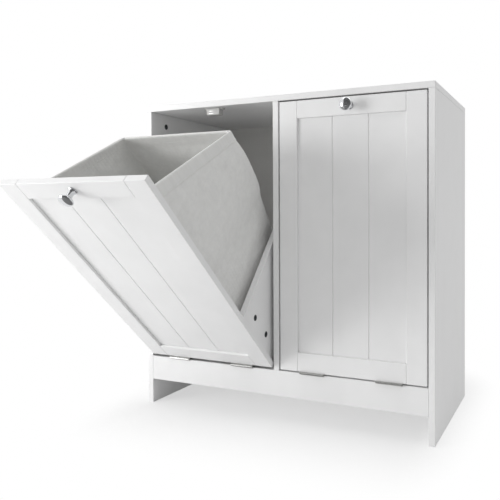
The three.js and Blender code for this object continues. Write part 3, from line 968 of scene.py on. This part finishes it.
def cam_locks():
    """The locks of the cabinet's top and those of the trays."""
    model = cam_model()
    for side, way in (("left", 1), ("right", -1)):
        for end in ("front", "rear"):
            name = f"{side}_{end}_top_cam_lock"
            piece = copy_piece(model, f"{name}_cast", face_point(*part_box(name), way), (way, 0, 0))
            finish_piece(piece, zinc, "cam_zinc", "cabinet", name)
    for side in SIDES:
        for hand, way in (("left", -1), ("right", 1)):
            for level in ("lower", "upper"):
                name = f"{side}_tray_{hand}_{level}_cam_lock"
                low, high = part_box(f"right_tray_{hand}_{level}_cam_lock")
                place = face_point(low, high, way)
                place.x = face_point(*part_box(name), way).x
                piece = copy_piece(model, f"{name}_cast", place, (way, 0, 0), side)
                finish_piece(piece, zinc, "cam_zinc", f"{side}_bin", name)
    bpy.data.objects.remove(model)


def screws():
    """Two screws in each catch's ears and one through each stop block."""
    model = screw_model()
    for side in SIDES:
        low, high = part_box(f"{side}_magnetic_catch")
        for hand, way in (("left", -1), ("right", 1)):
            place = Vector(
                (
                    (low.x + high.x) / 2 + way * catch_screw_distance,
                    (low.y + high.y) / 2,
                    high.z - catch_ear_height,
                )
            )
            piece = copy_piece(model, f"{side}_{hand}_catch_screw", place, (0, 0, -1))
            finish_piece(piece, nickel, "hinge_steel", "cabinet")
        for hand, way in (("left", 1), ("right", -1)):
            place = face_point(*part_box(f"{side}_{hand}_stop_block"), way)
            piece = copy_piece(model, f"{side}_{hand}_stop_screw", place, (way, 0, 0))
            finish_piece(piece, nickel, "hinge_steel", "cabinet")
    bpy.data.objects.remove(model)


def catch_poles(side):
    """The two steel plates that stick out of a catch towards the door."""
    low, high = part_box(f"{side}_magnetic_catch")
    middle = (low + high) / 2
    piece = block(
        f"{side}_catch_poles",
        (middle.x, low.y + catch_pole_depth / 2, middle.z - catch_pole_drop - catch_pole_spacing / 2),
        (catch_pole_width, catch_pole_depth + 2 * catch_pole_proud, catch_pole_thickness),
    )
    edit(piece)
    bpy.ops.mesh.select_all(action="SELECT")
    bpy.ops.mesh.bevel(offset=catch_pole_edge, offset_type="OFFSET", segments=2)
    deselect()
    pair = piece.modifiers.new("pair", "ARRAY")
    pair.count = 2
    pair.use_relative_offset = False
    pair.use_constant_offset = True
    pair.constant_offset_displace = (0, 0, catch_pole_spacing)
    apply_all(piece)
    smooth(piece, 35)
    finish_piece(piece, nickel, "hinge_steel", "cabinet")


def back_nails():
    """Flat nail heads round the edge of the back panel and down the divider."""
    low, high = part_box("back_panel")
    left, right = low.x + nail_edge_distance, high.x - nail_edge_distance
    bottom, top = low.z + nail_edge_distance, high.z - nail_edge_distance
    across = max(2, round((right - left) / nail_pitch))
    upright = max(2, round((top - bottom) / nail_pitch))
    places = [(left + (right - left) * i / across, z) for z in (bottom, top) for i in range(across + 1)]
    columns = (left, divider_x, right)
    places += [(x, bottom + (top - bottom) * i / upright) for x in columns for i in range(1, upright)]
    model = drum(nail_segments, nail_head_radius, nail_head_height, nail_head_height / 2)
    round_top(model, nail_head_height, nail_head_round, 2)
    nails = [
        copy_piece(model, f"nail_{number}", (x, high.y, z), (0, 1, 0)) for number, (x, z) in enumerate(places)
    ]
    bpy.data.objects.remove(model)
    take(nails[0])
    for nail in nails:
        nail.select_set(True)
    bpy.ops.object.join()
    piece = bpy.context.object
    piece.name = "back_panel_nails"
    smooth(piece, 35)
    finish_piece(piece, nickel, "hinge_steel", "cabinet")


dress_frame()
for side in SIDES:
    knob(side)
    catch_poles(side)
cam_locks()
screws()
back_nails()
# The open bin's bag is shaped in its shut place, where gravity leans towards the door.
bag("left", slump=1, pull=Vector((0, -math.sin(open_angle), -math.cos(open_angle))))
bag("right", slump=0.5, pull=Vector((0, 0, -1)))


# Stage

def seen_share(material):
    """One for rays from the camera, from a mirror or through glass, and none for the rays that light the object."""
    path = add_node(material, "ShaderNodeLightPath").outputs
    seen = path["Is Camera Ray"]
    for other in ("Is Glossy Ray", "Is Transmission Ray"):
        seen = add_node(material, "ShaderNodeMath", {0: seen, 1: path[other]}, operation="MAXIMUM").outputs["Value"]
    return seen


def studio_floor():
    """A white floor that keeps the hamper's shadow near it and runs into a white background further out."""
    bpy.ops.mesh.primitive_plane_add(size=floor_size, location=(0, 0, -floor_drop))
    floor = bpy.context.object
    floor.name = "studio_floor"
    material, shader = new_material("white_studio_floor")
    set_inputs(material, shader, {"Base Color": colour("F4F4F4"), "Roughness": 0.9})
    place = add_node(material, "ShaderNodeTexCoord").outputs["Object"]
    for operation, other in (
        ("SUBTRACT", shadow_middle),
        ("ABSOLUTE", None),
        ("SUBTRACT", shadow_half),
        ("MAXIMUM", (0, 0, 0)),
        ("MULTIPLY", shadow_ends),
    ):
        inputs = {0: place} if other is None else {0: place, 1: other}
        place = add_node(material, "ShaderNodeVectorMath", inputs, operation=operation).outputs["Vector"]
    distance = add_node(material, "ShaderNodeVectorMath", {0: place}, operation="LENGTH").outputs["Value"]
    fade = add_node(
        material,
        "ShaderNodeMapRange",
        {"Value": distance, "From Max": shadow_fade, "To Min": shadow_lift},
        interpolation_type="SMOOTHSTEP",
    )
    share = add_node(
        material,
        "ShaderNodeMath",
        {0: seen_share(material), 1: fade.outputs["Result"]},
        operation="MULTIPLY",
    )
    white = add_node(material, "ShaderNodeEmission", {"Color": pure_white, "Strength": 1})
    both = add_node(
        material,
        "ShaderNodeMixShader",
        {0: share.outputs["Value"], 1: shader.outputs["BSDF"], 2: white.outputs["Emission"]},
    )
    set_inputs(material, material.node_tree.nodes["Material Output"], {"Surface": both.outputs["Shader"]})
    floor.data.materials.append(material)


def studio_room():
    """A room that is white where it is seen and lights evenly and more softly."""
    world = bpy.data.worlds.new("white_room")
    bpy.context.scene.world = world
    world.use_nodes = True
    room = add_node(world, "ShaderNodeBackground", {"Color": pure_white, "Strength": room_light})
    white = add_node(world, "ShaderNodeBackground", {"Color": pure_white, "Strength": 1})
    both = add_node(
        world,
        "ShaderNodeMixShader",
        {0: seen_share(world), 1: room.outputs["Background"], 2: white.outputs["Background"]},
    )
    set_inputs(world, world.node_tree.nodes["World Output"], {"Surface": both.outputs["Shader"]})


def studio_place(azimuth, elevation, distance):
    """A place round the middle of the hamper. Azimuth 0 is in front of it and grows towards its right."""
    azimuth, elevation = math.radians(azimuth), math.radians(elevation)
    return studio_aim + distance * Vector(
        (math.sin(azimuth) * math.cos(elevation), -math.cos(azimuth) * math.cos(elevation), math.sin(elevation))
    )


def soft_box(name, azimuth, elevation, distance, width, height, power):
    """A lamp with a wide face that aims at the middle of the hamper."""
    place = studio_place(azimuth, elevation, distance)
    bpy.ops.object.light_add(type="AREA", location=place)
    box = bpy.context.object
    box.name = name
    box.data.shape = "RECTANGLE"
    box.data.size = width
    box.data.size_y = height
    box.data.energy = power
    box.rotation_mode = "QUATERNION"
    box.rotation_quaternion = (studio_aim - place).to_track_quat("-Z", "Y")
    box.visible_camera = False


def dark_card(name, forward, across, height, width, length, rotation):
    """A dark grey card that is seen in reflections alone, placed forward of and across from the closed knob."""
    place = card_start + card_forward * forward + card_across * across + Vector((0, 0, height))
    bpy.ops.mesh.primitive_plane_add(size=1, location=place, rotation=[math.radians(angle) for angle in rotation])
    card = bpy.context.object
    card.name = name
    card.scale = (width, length, 1)
    material, shader = new_material(f"{name}_grey")
    set_inputs(material, shader, {"Base Color": colour("808080"), "Roughness": 0.9})
    card.data.materials.append(material)
    card.visible_camera = card.visible_diffuse = card.visible_shadow = card.visible_transmission = False


def camera():
    """A lens with a little shift, at a standing viewer's place to the right of the front, nearly level."""
    picture = 500
    focal_length = 603.6
    middle_x, middle_y = 293.5, 219.7
    place = Vector((0.5437, -1.0501, 0.4297))
    yaw, pitch, roll = math.radians(24.81), math.radians(0.92), math.radians(-0.20)
    back = Vector((math.sin(yaw) * math.cos(pitch), -math.cos(yaw) * math.cos(pitch), math.sin(pitch)))
    level = Vector((math.cos(yaw), math.sin(yaw), 0))
    upright = back.cross(level)
    right = math.cos(roll) * level + math.sin(roll) * upright
    up = back.cross(right)
    bpy.ops.object.camera_add(location=place)
    eye = bpy.context.object
    eye.rotation_mode = "QUATERNION"
    eye.rotation_quaternion = Matrix((right, up, back)).transposed().to_quaternion()
    eye.data.sensor_width = 36
    eye.data.lens = focal_length * eye.data.sensor_width / picture
    eye.data.shift_x = (picture / 2 - middle_x) / picture
    eye.data.shift_y = (middle_y - picture / 2) / picture
    eye.data.clip_start = 10 * mm
    bpy.context.scene.camera = eye


studio_floor()
studio_room()
soft_box("key_light", azimuth=-49, elevation=7.5, distance=2.2, width=1, height=0.9, power=24.5)
soft_box("top_light", azimuth=0, elevation=89, distance=2.4, width=3, height=3, power=27.5)
dark_card("front_card", forward=3.2, across=1.8, height=1.3, width=3.6, length=2.6, rotation=(90, 0, card_yaw))
dark_card("side_card", forward=1.2, across=2.8, height=1.3, width=4.2, length=2.6, rotation=(90, 0, card_yaw + 90))
dark_card("floor_card", forward=1.45, across=1.2, height=1 * mm, width=3, length=2.8, rotation=(0, 0, card_yaw))
dark_card("ceiling_card", forward=1.6, across=1.3, height=2.6, width=3.4, length=3.4, rotation=(180, 0, card_yaw))
camera()
bpy.context.scene.view_settings.view_transform = "Standard"
